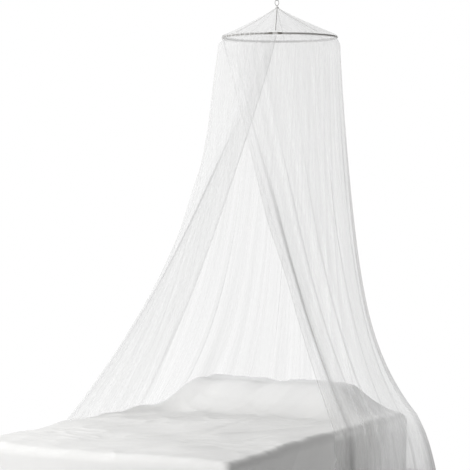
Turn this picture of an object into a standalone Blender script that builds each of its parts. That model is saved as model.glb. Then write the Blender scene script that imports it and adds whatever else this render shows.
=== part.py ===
"""A round mosquito net canopy on a ceiling hook, draped over a made bed.

Metres, +Z up, +Y towards the head of the bed. The origin is the top of the ceiling
hook. Every height below is given above the floor and turned into a Z by up().
"""

import math

import bmesh
import bpy
from mathutils import Vector

# Driving dimensions.
CEILING_HEIGHT = 2.75
HOOP_HEIGHT = 2.46
HOOP_RADIUS = 0.300
HOOP_TUBE = 0.007
HOOP_SHIFT = (0.014, 0.007)
CROWN_RISE = 0.154
BED_TOP = 0.50
BED_WIDTH = 1.40
BED_LENGTH = 2.00
BED_CENTRE_X = -0.035
BED_HEAD_Y = 0.21
NET_THICKNESS = 0.0012
NET_HEM_HEIGHT = 0.03
GAP = 0.0003
# The ring lies face on to this direction, counted from the foot of the bed towards +X.
FACING_DEGREES = 26.2

# Hoop, sleeve and crown share these divisions, so that their faces stay parallel.
AROUND = 48
SEAM_DEGREES = 21.7
GORES = 8
SLEEVE_TOP = 0.0095
SLEEVE_BOTTOM = 0.0110
SLEEVE_HALF_WIDTH = 0.0052
JOINT_HALF_DEGREES = 6.9
JOINT_WALL = 0.0016
CROWN_TOP_RADIUS = 0.0065
CROWN_THICKNESS = 0.0012
CROWN_SAG = 0.007
CROWN_CURVE = 1.12
CROWN_ROWS = 5
TAPE_WIDTH = 0.0026
TAPE_LIFT = 0.0003
TAPE_START = 0.02
TAPE_END = 0.985

RING_WIDTH = 0.023
RING_HEIGHT = 0.034
RING_WIRE = 0.0028
HOOK_WIRE = 0.0050
HOOK_CROOK_RADIUS = 0.0085
PLATE_RADIUS = 0.025
PLATE_THICKNESS = 0.005
CAP_EYE_RADIUS = 0.0022
CAP_EYE_RISE = 0.0115
CAP_HEIGHT = 0.0075
CAP_RADIUS = 0.0105
LUG_RADIUS = 0.0046
LUG_THICKNESS = 0.0030

SPREAD_THICKNESS = 0.003
SPREAD_SIDE_CLEARANCE = 0.012
SPREAD_COLUMNS = 16
SPREAD_ROWS = 20
SPREAD_CORNER = 0.030
MATTRESS_CORNER = 0.045
# The levels of the spread, from the edge of its top down to its hem: how far inside the
# bed's outline, how far below its top, and how far it sways inwards in soft waves.
SPREAD_LEVELS = (
    (0.022, 0.000, 0.000),
    (0.008, 0.007, 0.000),
    (0.000, 0.040, 0.000),
    (0.000, 0.250, 0.004),
    (0.000, 0.450, 0.006),
)
# From this drop on, the sides no longer follow the creases of the top.
LEVEL_SIDE = 0.1
BASE_HEIGHT = 0.27
BASE_INSET = 0.030
BASE_CORNER = 0.030
BASE_EDGE = 0.010
MATTRESS_EDGE = 0.020
PILLOW_WIDTH = 0.53
PILLOW_DEPTH = 0.41
PILLOW_HEIGHT = 0.150
PILLOW_SPACING = 0.52
PILLOW_SHIFT = 0.020
PILLOW_BACK = 0.022
PILLOW_FULLNESS = 0.93
PILLOW_EDGE = 0.020
SPREAD_OVER_PILLOW = 0.004
SPREAD_DIP = 0.014
SPREAD_CREASE = 0.004

# The skirt, a row for each main line down the net, from the left front edge round the
# head of the bed to the right front edge. across is its share of the net's columns,
# hoop its place on the hoop in degrees from the foot towards +X, foot_x and foot_y its
# place beside the bed at the height of the spread, early and power the way it swings
# outwards on the way down, bulge how far it stands out just under the hoop, along the
# direction push in degrees, flare how far it moves outwards below the spread, along the
# direction out in degrees, and pleat the depth of its pleats there.
SKIRT_LINES = (
    ("across", "hoop", "foot_x", "foot_y", "early", "power", "bulge", "push", "flare", "out", "pleat"),
    (0.000, 23.0, -0.7404, -0.15, 0.80, 3.0, -0.035, 23.0, 0.002, -90.0, 0.005),
    (0.055, 19.0, -0.7409, -0.50, 0.80, 3.0, -0.045, 19.0, 0.002, -90.0, 0.006),
    (0.105, 15.5, -0.7430, -0.78, 0.76, 3.0, -0.050, 15.5, 0.004, -90.0, 0.006),
    (0.130, 12.0, -0.772, -0.84, 0.73, 3.0, -0.055, 12.0, 0.020, -70.0, 0.006),
    (0.165, -4.0, -0.790, -0.70, 0.72, 3.0, -0.045, -4.0, 0.040, -90.0, 0.008),
    (0.235, -45.0, -0.790, -0.38, 0.58, 3.0, -0.012, -45.0, 0.050, -90.0, 0.012),
    (0.310, -88.0, -0.785, -0.03, 0.46, 3.0, 0.032, -88.0, 0.050, -90.0, 0.014),
    (0.385, -125.0, -0.765, 0.240, 0.44, 4.0, 0.022, -125.0, 0.070, -135.0, 0.015),
    (0.460, -150.0, -0.440, 0.290, 0.48, 5.0, 0.0, -150.0, 0.050, -180.0, 0.015),
    (0.555, -180.0, -0.020, 0.315, 0.48, 5.0, 0.0, -180.0, 0.045, -180.0, 0.015),
    (0.650, -212.0, 0.400, 0.290, 0.45, 6.0, 0.0, -212.0, 0.060, -180.0, 0.015),
    (0.725, -243.0, 0.682, 0.245, 0.40, 6.0, 0.0, -243.0, 0.120, -225.0, 0.014),
    (0.790, -268.0, 0.690, 0.060, 0.45, 5.0, 0.004, -268.0, 0.090, -262.0, 0.014),
    (0.850, -305.0, 0.684, -0.160, 0.55, 4.0, 0.016, -305.0, 0.060, -270.0, 0.012),
    (0.915, -350.0, 0.680, -0.410, 0.68, 3.5, 0.045, -350.0, 0.030, -270.0, 0.010),
    (0.970, -390.0, 0.6703, -0.630, 0.78, 3.0, 0.070, -345.0, 0.004, -270.0, 0.006),
    (1.000, -401.0, 0.6690, -0.745, 0.80, 3.0, 0.075, -335.0, -0.002, -270.0, 0.005),
)
SKIRT_COLUMNS = 128
ROWS_ABOVE_BED = 8
ROWS_BELOW_BED = 3
SKIRT_PLEATS = 31
SKIRT_SPREAD_ON_HOOP = 0.0026
PLEAT_AT_HOOP = 0.0008
BULGE_REACH = 0.45

# Broad folds of the skirt: where each lies across the net, its half width as a share
# of the net and how far it stands out at the height of the spread.
SKIRT_FOLDS = (
    ("across", "half_width", "depth"),
    (0.205, 0.010, 0.007),
    (0.340, 0.014, 0.008),
    (0.520, 0.016, -0.010),
    (0.615, 0.012, 0.011),
    (0.700, 0.012, 0.012),
    (0.752, 0.009, -0.006),
    (0.822, 0.010, 0.010),
    (0.885, 0.009, 0.007),
    (0.945, 0.007, 0.005),
)

COLLECTION = bpy.data.collections.new("mosquito_net_canopy")


def clear_scene():
    for obj in list(bpy.data.objects):
        bpy.data.objects.remove(obj, do_unlink=True)
    bpy.context.scene.collection.children.link(COLLECTION)


def up(height):
    return height - CEILING_HEIGHT


def plain_material(name, colour, roughness, metallic=0.0):
    material = bpy.data.materials.new(name)
    material.use_nodes = True
    shader = material.node_tree.nodes["Principled BSDF"]
    shader.inputs["Base Color"].default_value = (*colour, 1.0)
    shader.inputs["Roughness"].default_value = roughness
    shader.inputs["Metallic"].default_value = metallic
    return material


def add_mesh(name, bm, material):
    """Turns a bmesh into a named object of the canopy's collection."""
    mesh = bpy.data.meshes.new(name)
    bm.to_mesh(mesh)
    bm.free()
    obj = bpy.data.objects.new(name, mesh)
    obj.data.materials.append(material)
    COLLECTION.objects.link(obj)
    mesh.shade_smooth()
    mesh.set_sharp_from_angle(angle=math.radians(40))
    return obj


def adopt(name, material):
    """Names the object that a bpy.ops call has just added, and moves it to the collection."""
    obj = bpy.context.active_object
    for collection in list(obj.users_collection):
        collection.objects.unlink(obj)
    COLLECTION.objects.link(obj)
    obj.name = name
    obj.data.name = name
    obj.data.materials.clear()
    obj.data.materials.append(material)
    return obj


def baked(obj):
    """Replaces a curve or modified object with the plain mesh that it evaluates to."""
    graph = bpy.context.evaluated_depsgraph_get()
    mesh = bpy.data.meshes.new_from_object(obj.evaluated_get(graph))
    bm = bmesh.new()
    bm.from_mesh(mesh)
    bmesh.ops.remove_doubles(bm, verts=bm.verts, dist=1e-6)
    bmesh.ops.recalc_face_normals(bm, faces=bm.faces)
    name = obj.name
    matrix = obj.matrix_world.copy()
    material = obj.data.materials[0]
    bpy.data.objects.remove(obj, do_unlink=True)
    result = add_mesh(name, bm, material)
    result.matrix_world = matrix
    return result


def wire(name, points, radius, material, cyclic=False, resolution=2):
    """A round wire along straight steps between the points."""
    curve = bpy.data.curves.new(name, "CURVE")
    curve.dimensions = "3D"
    curve.bevel_depth = radius
    curve.bevel_resolution = resolution
    curve.use_fill_caps = True
    spline = curve.splines.new("POLY")
    spline.points.add(len(points) - 1)
    for spot, place in zip(spline.points, points):
        spot.co = (*place, 1.0)
    spline.use_cyclic_u = cyclic
    curve.materials.append(material)
    obj = bpy.data.objects.new(name, curve)
    COLLECTION.objects.link(obj)
    return obj


def united(first, second):
    """Joins two overlapping objects into one closed body."""
    union = first.modifiers.new("union", "BOOLEAN")
    union.operation = "UNION"
    union.object = second
    bpy.context.view_layer.update()
    result = baked(first)
    bpy.data.objects.remove(second, do_unlink=True)
    return result


def mapped_sheet(name, columns, rows, place, thickness, material, closed=False):
    """A sheet of cloth: a flat grid moved to place(across, down), then given thickness."""
    bm = bmesh.new()
    bmesh.ops.create_grid(bm, x_segments=columns, y_segments=rows, size=0.5)
    for vert in bm.verts:
        vert.co = place(vert.co.x + 0.5, vert.co.y + 0.5)
    if closed:
        bmesh.ops.remove_doubles(bm, verts=bm.verts, dist=1e-6)
    obj = add_mesh(name, bm, material)
    solid = obj.modifiers.new("thickness", "SOLIDIFY")
    solid.thickness = thickness
    solid.offset = 0.0
    return obj


def on_hoop(degrees, radius, height):
    """A point round the hoop's axis, degrees counted from the foot towards +X."""
    angle = math.radians(degrees)
    x = HOOP_SHIFT[0] + radius * math.sin(angle)
    y = HOOP_SHIFT[1] - radius * math.cos(angle)
    return Vector((x, y, up(height)))


def curve_through(table, column, across):
    """Reads a smooth value between the rows of a table whose first column is across."""
    names = table[0]
    rows = table[1:]
    index = names.index(column)
    last = len(rows) - 1
    k = 0
    while k < last - 1 and across > rows[k + 1][0]:
        k += 1
    before = rows[max(k - 1, 0)]
    start = rows[k]
    end = rows[k + 1]
    after = rows[min(k + 2, last)]
    span = end[0] - start[0]
    t = (across - start[0]) / span
    slope_in = (end[index] - before[index]) / max(end[0] - before[0], span)
    slope_out = (after[index] - start[index]) / max(after[0] - start[0], span)
    rise = slope_in * span
    fall = slope_out * span
    step = end[index] - start[index]
    return start[index] + t * rise + t * t * (3 * step - 2 * rise - fall) + t**3 * (rise + fall - 2 * step)


# ---------------------------------------------------------------- the hanging parts


def crown_point(around, down):
    """A point of the crown, from the apex cap down to the top of the sleeve."""
    degrees = SEAM_DEGREES + 360.0 * around
    gore = abs(math.sin(math.pi * GORES * around))
    reach = down**CROWN_CURVE
    radius = CROWN_TOP_RADIUS + (HOOP_RADIUS - CROWN_TOP_RADIUS) * reach
    sag = CROWN_SAG * gore * math.sin(math.pi * down) * down
    bottom = HOOP_HEIGHT + SLEEVE_TOP + GAP + CROWN_THICKNESS / 2
    top = HOOP_HEIGHT + CROWN_RISE
    height = top + (bottom - top) * down - sag
    return on_hoop(degrees, radius, height) - crown_lean(down)


def crown_lean(down):
    """The apex hangs under the hook, a little off the hoop's own axis."""
    return Vector((HOOP_SHIFT[0], HOOP_SHIFT[1], 0.0)) * (1.0 - down)


def build_crown(net):
    return mapped_sheet("crown", AROUND, CROWN_ROWS, crown_point, CROWN_THICKNESS, net, closed=True)


def on_seam(around, down):
    """A point of the crown along one of its seams, straight between the crown's rows."""
    row = min(int(down * CROWN_ROWS), CROWN_ROWS - 1)
    above = crown_point(around, row / CROWN_ROWS)
    below = crown_point(around, (row + 1) / CROWN_ROWS)
    return above.lerp(below, down * CROWN_ROWS - row)


def build_seam_tapes(tape):
    lift = CROWN_THICKNESS / 2 + TAPE_LIFT + TAPE_WIDTH / 2
    stations = [row / CROWN_ROWS for row in range(1, CROWN_ROWS)]
    stations = [TAPE_START, *stations, TAPE_END]
    for number in range(GORES):
        around = number / GORES
        slope = (on_seam(around, 1.0) - on_seam(around, 0.0)).normalized()
        sideways = slope.cross(Vector((0.0, 0.0, 1.0)))
        normal = sideways.cross(slope).normalized()
        points = [on_seam(around, down) + normal * lift for down in stations]
        wire(f"seam_tape_{number + 1}", points, TAPE_WIDTH / 2, tape, resolution=1)


def build_hoop(metal):
    centre = on_hoop(0.0, 0.0, HOOP_HEIGHT)
    bpy.ops.mesh.primitive_torus_add(
        major_segments=AROUND,
        minor_segments=6,
        major_radius=HOOP_RADIUS,
        minor_radius=HOOP_TUBE / 2,
        location=centre,
        rotation=(0.0, 0.0, math.radians(SEAM_DEGREES - 90.0)),
    )
    hoop = adopt("hoop", metal)
    hoop.data.shade_smooth()
    return hoop


def build_hoop_joint(metal):
    """The ferrule that closes the hoop, a short sleeve bent to the hoop's own curve."""
    steps = 6
    bore = HOOP_TUBE / 2 + 2 * GAP
    outer = bore + JOINT_WALL
    bm = bmesh.new()
    loops = []
    for step in range(steps + 1):
        share = 2.0 * step / steps - 1.0
        degrees = SEAM_DEGREES + share * JOINT_HALF_DEGREES
        wall = outer - JOINT_WALL / 2 * abs(share) ** 6
        loops.append(tube_loops(bm, degrees, bore, wall, wall, wall, 8))
    skin_tube(bm, loops)
    return add_mesh("hoop_joint", bm, metal)


def tube_loops(bm, degrees, bore, wide, top, bottom, sides):
    """One cross-section of a tube round the hoop: its bore and its outer outline."""
    inner = []
    outer = []
    for side in range(sides):
        turn = 2.0 * math.pi * side / sides
        inner_radius = HOOP_RADIUS + bore * math.cos(turn) / math.cos(math.pi / sides)
        inner_height = HOOP_HEIGHT + bore * math.sin(turn) / math.cos(math.pi / sides)
        inner.append(bm.verts.new(on_hoop(degrees, inner_radius, inner_height)))
        reach = top if math.sin(turn) > 0 else bottom
        outer_radius = HOOP_RADIUS + wide * math.cos(turn) / math.cos(math.pi / sides)
        outer_height = HOOP_HEIGHT + reach * math.sin(turn) / math.cos(math.pi / sides)
        outer.append(bm.verts.new(on_hoop(degrees, outer_radius, outer_height)))
    return inner, outer


def skin_tube(bm, loops):
    """Faces between successive cross-sections, and a ring of faces at each open end."""
    sides = len(loops[0][0])
    for (inner_a, outer_a), (inner_b, outer_b) in zip(loops, loops[1:]):
        for side in range(sides):
            after = (side + 1) % sides
            bm.faces.new((outer_a[side], outer_a[after], outer_b[after], outer_b[side]))
            bm.faces.new((inner_a[after], inner_a[side], inner_b[side], inner_b[after]))
    for inner, outer in (loops[0], loops[-1]):
        for side in range(sides):
            after = (side + 1) % sides
            bm.faces.new((inner[side], inner[after], outer[after], outer[side]))
    bmesh.ops.recalc_face_normals(bm, faces=bm.faces)


def build_sleeve(net):
    """The ruffled band of net round the hoop, open at both ends beside the joint."""
    bore = HOOP_TUBE / 2 + 2 * GAP
    steps = AROUND - 2
    bm = bmesh.new()
    loops = []
    for step in range(steps + 1):
        degrees = SEAM_DEGREES + 360.0 / AROUND * (step + 1)
        ruffle = 0.0005 * (1.0 + math.sin(1.9 * step) * math.cos(0.31 * step))
        wide = SLEEVE_HALF_WIDTH - ruffle
        flat = math.cos(math.pi / 8)
        loops.append(tube_loops(bm, degrees, bore, wide, SLEEVE_TOP * flat, SLEEVE_BOTTOM * flat, 8))
    skin_tube(bm, loops)
    return add_mesh("hoop_sleeve", bm, net)


def facing(right, height, forward=0.0):
    """A point in the upright plane of the ring, forward being towards the foot."""
    angle = math.radians(FACING_DEGREES)
    x = right * math.cos(angle) + forward * math.sin(angle)
    y = right * math.sin(angle) - forward * math.cos(angle)
    return Vector((x, y, up(height)))


def cap_eye_height():
    return HOOP_HEIGHT + CROWN_RISE + CAP_EYE_RISE


def ring_centre_height():
    slack = CAP_EYE_RADIUS - RING_WIRE / 2 - GAP
    return cap_eye_height() + slack + RING_HEIGHT / 2 - RING_WIRE / 2


def facing_disc(name, height, radius, depth, sides, material):
    """A disc whose axis runs sideways in the ring's plane."""
    bpy.ops.mesh.primitive_cylinder_add(
        vertices=sides,
        radius=radius,
        depth=depth,
        location=facing(0.0, height),
        rotation=(0.0, math.radians(90.0), math.radians(FACING_DEGREES)),
    )
    return adopt(name, material)


def build_apex_cap(material):
    """A turned cap over the gathered gores, with an eyed lug for the ring."""
    first = on_seam(0.0, 0.0)
    second = on_seam(0.0, 1.0 / CROWN_ROWS)
    run = math.hypot(second.x - first.x, second.y - first.y)
    slope = (first.z - second.z) / run
    base = HOOP_HEIGHT + CROWN_RISE + (CROWN_THICKNESS / 2 + 1.5 * GAP) * math.hypot(1.0, slope)
    rim = base - slope * (CAP_RADIUS - CROWN_TOP_RADIUS)
    eye = cap_eye_height()
    profile = (
        (0.0, base + CAP_HEIGHT),
        (0.0030, base + CAP_HEIGHT - 0.0005),
        (CAP_RADIUS - 0.0010, base + 0.0030),
        (CAP_RADIUS, base + 0.0005),
        (CAP_RADIUS, rim),
        (CROWN_TOP_RADIUS, base),
        (0.0, base),
    )
    mesh = bpy.data.meshes.new("apex_cap")
    points = [(radius, 0.0, up(height)) for radius, height in profile]
    edges = [(k, k + 1) for k in range(len(points) - 1)]
    mesh.from_pydata(points, edges, [])
    cap = bpy.data.objects.new("apex_cap", mesh)
    mesh.materials.append(material)
    COLLECTION.objects.link(cap)
    turn = cap.modifiers.new("turned", "SCREW")
    turn.steps = 20
    turn.render_steps = 20
    turn.use_merge_vertices = True
    turn.merge_threshold = 0.00001
    bpy.context.view_layer.update()
    cap = baked(cap)
    cap = united(cap, facing_disc("lug", eye, LUG_RADIUS, LUG_THICKNESS, 20, material))
    cutter = facing_disc("eye_cutter", eye, CAP_EYE_RADIUS, 0.03, 16, material)
    bore = cap.modifiers.new("eye", "BOOLEAN")
    bore.operation = "DIFFERENCE"
    bore.object = cutter
    bpy.context.view_layer.update()
    cap = baked(cap)
    bpy.data.objects.remove(cutter, do_unlink=True)
    return cap


def build_ring(metal):
    half_width = (RING_WIDTH - RING_WIRE) / 2
    half_height = (RING_HEIGHT - RING_WIRE) / 2
    centre = ring_centre_height()
    steps = 28
    points = []
    for step in range(steps):
        turn = 2.0 * math.pi * step / steps
        points.append(facing(half_width * math.sin(turn), centre + half_height * math.cos(turn)))
    return wire("hanging_ring", points, RING_WIRE / 2, metal, cyclic=True, resolution=1)


def build_hook(metal):
    """A round hook under a small plate, its crook square to the ring's plane."""
    ring_top = ring_centre_height() + (RING_HEIGHT - RING_WIRE) / 2
    crook_bottom = ring_top - RING_WIRE / 2 - GAP - HOOK_WIRE / 2
    crook_centre = crook_bottom + HOOK_CROOK_RADIUS
    points = [facing(0.0, CEILING_HEIGHT - PLATE_THICKNESS / 2)]
    points.append(facing(0.0, crook_centre + 2.2 * HOOK_CROOK_RADIUS))
    steps = 16
    first = 75.0
    last = -190.0
    for step in range(steps + 1):
        turn = math.radians(first + (last - first) * step / steps)
        forward = -HOOK_CROOK_RADIUS * math.cos(turn)
        points.append(facing(0.0, crook_centre + HOOK_CROOK_RADIUS * math.sin(turn), forward))
    stem = wire("ceiling_hook", points, HOOK_WIRE / 2, metal)
    bpy.context.view_layer.update()
    stem = baked(stem)
    bpy.ops.mesh.primitive_cylinder_add(
        vertices=32,
        radius=PLATE_RADIUS,
        depth=PLATE_THICKNESS,
        location=(0.0, 0.0, -PLATE_THICKNESS / 2),
    )
    plate = adopt("ceiling_plate", metal)
    return united(stem, plate)


# ---------------------------------------------------------------- the skirt


def uneven_pleats(across):
    """A wave from -1 to 1 whose pleats differ in width and depth."""
    drift = 0.35 * math.sin(17.0 * across + 1.1) + 0.22 * math.sin(41.0 * across + 0.4)
    wave = math.sin(2.0 * math.pi * (SKIRT_PLEATS * across + drift))
    return wave * (0.72 + 0.28 * math.sin(29.0 * across + 2.0))


def broad_folds(across):
    total = 0.0
    for centre, half_width, depth in SKIRT_FOLDS[1:]:
        total += depth * math.exp(-(((across - centre) / half_width) ** 2))
    return total


def skirt_line(across, fall):
    """The skirt's middle surface before pleats. fall is 0 at the hoop, 1 at the spread
    and 2 at the hem."""
    degrees = curve_through(SKIRT_LINES, "hoop", across)
    on_sleeve = HOOP_RADIUS + SKIRT_SPREAD_ON_HOOP * (2.0 * across - 1.0)
    start = on_hoop(degrees, on_sleeve, 0.0)
    foot = Vector((
        curve_through(SKIRT_LINES, "foot_x", across),
        curve_through(SKIRT_LINES, "foot_y", across),
        start.z,
    ))
    above = min(fall, 1.0)
    below = max(fall - 1.0, 0.0)
    early = curve_through(SKIRT_LINES, "early", across)
    power = curve_through(SKIRT_LINES, "power", across)
    swing = early * above + (1.0 - early) * above**power
    place = start.lerp(foot, swing)
    hump = above / BULGE_REACH
    bulge = curve_through(SKIRT_LINES, "bulge", across) * 6.75 * hump * max(1.0 - hump, 0.0) ** 2
    push = math.radians(curve_through(SKIRT_LINES, "push", across))
    place += Vector((math.sin(push), -math.cos(push), 0.0)) * bulge
    flare = curve_through(SKIRT_LINES, "flare", across) * (1.0 - (1.0 - below) ** 2)
    out = math.radians(curve_through(SKIRT_LINES, "out", across))
    place += Vector((math.sin(out), -math.cos(out), 0.0)) * flare
    return place


def skirt_height(fall):
    top = HOOP_HEIGHT - SLEEVE_BOTTOM - 2 * GAP
    if fall <= 1.0:
        return top + (BED_TOP - top) * fall
    return BED_TOP + (NET_HEM_HEIGHT - BED_TOP) * (fall - 1.0)


def skirt_point(across, down):
    rows = ROWS_ABOVE_BED + ROWS_BELOW_BED
    row = down * rows
    if row <= ROWS_ABOVE_BED:
        fall = row / ROWS_ABOVE_BED
    else:
        fall = 1.0 + (row - ROWS_ABOVE_BED) / ROWS_BELOW_BED
    step = 0.0015
    ahead = skirt_line(min(across + step, 1.0), fall)
    behind = skirt_line(max(across - step, 0.0), fall)
    along = ahead - behind
    outward = Vector((-along.y, along.x, 0.0)).normalized()
    grown = min(fall, 1.0) ** 0.8
    deep = curve_through(SKIRT_LINES, "pleat", across)
    wave = uneven_pleats(across) * (PLEAT_AT_HOOP + (deep - PLEAT_AT_HOOP) * grown)
    wave += broad_folds(across) * grown
    place = skirt_line(across, fall) + outward * wave
    place.z = up(skirt_height(fall))
    return place


def build_skirt(net):
    rows = ROWS_ABOVE_BED + ROWS_BELOW_BED
    return mapped_sheet("skirt", SKIRT_COLUMNS, rows, skirt_point, NET_THICKNESS, net)


# ---------------------------------------------------------------- the bed


def draped_bump(offset, reach, half):
    """The spread over a pillow, or over two whose middles lie reach from the centre:
    level on top, with a long soft ramp at each end."""
    flat = reach + 0.40 * half
    ramp = 0.60 * half + 0.12
    share = min(max((abs(offset) - flat) / ramp, 0.0), 1.0)
    return 0.5 * (1.0 + math.cos(math.pi * share))


def pillow_places():
    y = BED_HEAD_Y - PILLOW_BACK - PILLOW_DEPTH / 2
    for side in (-1, 1):
        yield BED_CENTRE_X + PILLOW_SHIFT + side * PILLOW_SPACING / 2, y


def spread_rise(x, y):
    """How far the spread lies above the mattress: pillows and soft creases."""
    centre = BED_CENTRE_X + PILLOW_SHIFT
    middle = BED_HEAD_Y - PILLOW_BACK - PILLOW_DEPTH / 2
    over_x = draped_bump(x - centre, PILLOW_SPACING / 2, PILLOW_WIDTH / 2)
    over_y = draped_bump(y - middle, 0.0, PILLOW_DEPTH / 2)
    dip = SPREAD_DIP * math.exp(-(((x - centre) / 0.07) ** 2))
    pillows = ((PILLOW_HEIGHT + SPREAD_OVER_PILLOW) * over_x - dip) * over_y
    crease = math.sin(9.0 * x + 4.0 * y + 0.8 * math.sin(5.0 * y)) * math.sin(3.1 * y - 2.3 * x + 0.5)
    return pillows + SPREAD_CREASE * (1.0 + crease)


def rounded_plan(x, y, half_x, half_y, corner):
    """Moves a point of a rectangle so that the rectangle's corners become round."""
    over_x = abs(x) - (half_x - corner)
    over_y = abs(y) - (half_y - corner)
    if over_x <= 0.0 or over_y <= 0.0:
        return x, y
    shrink = max(over_x, over_y) / math.hypot(over_x, over_y)
    new_x = half_x - corner + over_x * shrink
    new_y = half_y - corner + over_y * shrink
    return math.copysign(new_x, x), math.copysign(new_y, y)


def spread_point(across, down):
    """A point of the spread. Its grid has an inner part on top of the bed and, round
    that, one ring of points for each level of the falling sides."""
    rings = len(SPREAD_LEVELS) - 1
    column = round(across * (SPREAD_COLUMNS + 2 * rings)) - rings
    row = round(down * (SPREAD_ROWS + 2 * rings)) - rings
    ring = max(0, -column, column - SPREAD_COLUMNS, -row, row - SPREAD_ROWS)
    share_x = (column + ring) / (SPREAD_COLUMNS + 2 * ring)
    share_y = (row + ring) / (SPREAD_ROWS + 2 * ring)
    inset, drop, sway = SPREAD_LEVELS[ring]
    wave = 0.5 + 0.5 * math.sin(23.0 * (share_x + share_y) + 9.0 * (share_x - share_y))
    inset += sway * wave
    half_x = BED_WIDTH / 2 - SPREAD_THICKNESS / 2 - inset
    half_y = BED_LENGTH / 2 - SPREAD_THICKNESS / 2 - inset
    # Rows lie closer together near the head, where the pillows are.
    y = (2.0 * share_y**0.8 - 1.0) * half_y
    x, y = rounded_plan((2.0 * share_x - 1.0) * half_x, y, half_x, half_y, SPREAD_CORNER)
    x += BED_CENTRE_X
    y += BED_HEAD_Y - BED_LENGTH / 2
    surface = BED_TOP
    if drop < LEVEL_SIDE:
        surface += spread_rise(x, y) - SPREAD_THICKNESS / 2
    return Vector((x, y, up(surface - drop)))


def build_spread(cloth):
    rings = len(SPREAD_LEVELS) - 1
    columns = SPREAD_COLUMNS + 2 * rings
    rows = SPREAD_ROWS + 2 * rings
    return mapped_sheet("bedspread", columns, rows, spread_point, SPREAD_THICKNESS, cloth)


def rounded_block(name, width, length, bottom, top, corner, material):
    """A block on the bed's outline, with round upright corners."""
    bm = bmesh.new()
    bmesh.ops.create_cube(bm, size=1.0)
    for vert in bm.verts:
        vert.co.x = BED_CENTRE_X + vert.co.x * width
        vert.co.y = BED_HEAD_Y - BED_LENGTH / 2 + vert.co.y * length
        vert.co.z = up(top if vert.co.z > 0.0 else bottom)
    upright = [edge for edge in bm.edges if edge.verts[0].co.z != edge.verts[1].co.z]
    bmesh.ops.bevel(bm, geom=upright, offset=corner, segments=5, profile=0.5, affect="EDGES")
    return add_mesh(name, bm, material)


def soften(block, width):
    """Bevels the block's top and bottom edges."""
    edges = block.modifiers.new("edges", "BEVEL")
    edges.width = width
    edges.segments = 2
    edges.limit_method = "ANGLE"
    edges.angle_limit = math.radians(60)


def build_pillow(name, centre, material):
    """A soft crowned pillow, flat where it lies on the mattress."""
    floor = BED_TOP - SPREAD_THICKNESS
    bm = bmesh.new()
    bmesh.ops.create_uvsphere(bm, u_segments=20, v_segments=8, radius=1.0)
    for vert in bm.verts:
        angle = math.atan2(vert.co.y, vert.co.x)
        level = math.asin(max(-1.0, min(1.0, vert.co.z))) / (math.pi / 2)
        ring = max(math.cos(level * math.pi / 2), 0.0) ** 0.6
        square = max(abs(math.cos(angle)), abs(math.sin(angle))) ** -0.62
        x = PILLOW_WIDTH / 2 * PILLOW_FULLNESS * ring * square * math.cos(angle)
        y = PILLOW_DEPTH / 2 * PILLOW_FULLNESS * ring * square * math.sin(angle)
        if level > 0.0:
            crown = max(1.0 - ring**2.2, 0.0) ** 0.6
            high = PILLOW_EDGE + (PILLOW_HEIGHT - PILLOW_EDGE) * crown
        else:
            high = PILLOW_EDGE * ring**6
        vert.co = (centre[0] + x, centre[1] + y, up(floor + high))
    return add_mesh(name, bm, material)


def build_bed(cloth, ticking, dark):
    under_spread = BED_TOP - SPREAD_THICKNESS - GAP
    inset = 2 * (SPREAD_THICKNESS + SPREAD_SIDE_CLEARANCE)
    width = BED_WIDTH - inset
    length = BED_LENGTH - inset
    base_width = width - 2 * BASE_INSET
    base_length = length - 2 * BASE_INSET
    base = rounded_block("bed_base", base_width, base_length, 0.0, BASE_HEIGHT, BASE_CORNER, dark)
    soften(base, BASE_EDGE)
    mattress_bottom = BASE_HEIGHT + GAP
    mattress = rounded_block(
        "mattress", width, length, mattress_bottom, under_spread, MATTRESS_CORNER, ticking
    )
    soften(mattress, MATTRESS_EDGE)
    names = ("pillow_left", "pillow_right")
    for name, centre in zip(names, pillow_places()):
        build_pillow(name, centre, ticking)
    build_spread(cloth)


def main():
    clear_scene()
    net = plain_material("net", (0.86, 0.86, 0.85), 0.9)
    tape = plain_material("tape", (0.30, 0.29, 0.28), 0.8)
    dark_metal = plain_material("dark_metal", (0.12, 0.11, 0.10), 0.4, 0.8)
    cloth = plain_material("spread", (0.88, 0.88, 0.87), 0.9)
    ticking = plain_material("ticking", (0.80, 0.80, 0.78), 0.9)
    dark = plain_material("base_cloth", (0.25, 0.24, 0.23), 0.9)
    build_hook(dark_metal)
    build_ring(dark_metal)
    build_apex_cap(tape)
    build_crown(net)
    build_seam_tapes(tape)
    build_hoop(dark_metal)
    build_hoop_joint(dark_metal)
    build_sleeve(net)
    build_skirt(net)
    build_bed(cloth, ticking, dark)


main()
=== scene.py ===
"""A round mosquito net canopy on a ceiling hook, draped over a made bed, as it is photographed.

Metres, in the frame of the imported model: the origin is the top of the ceiling hook,
+Z is up and -Y points to the foot of the bed. up() turns a height above the floor into Z.
"""

import math

import bmesh
import bpy
import numpy as np
from mathutils import Matrix, Vector, noise


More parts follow.
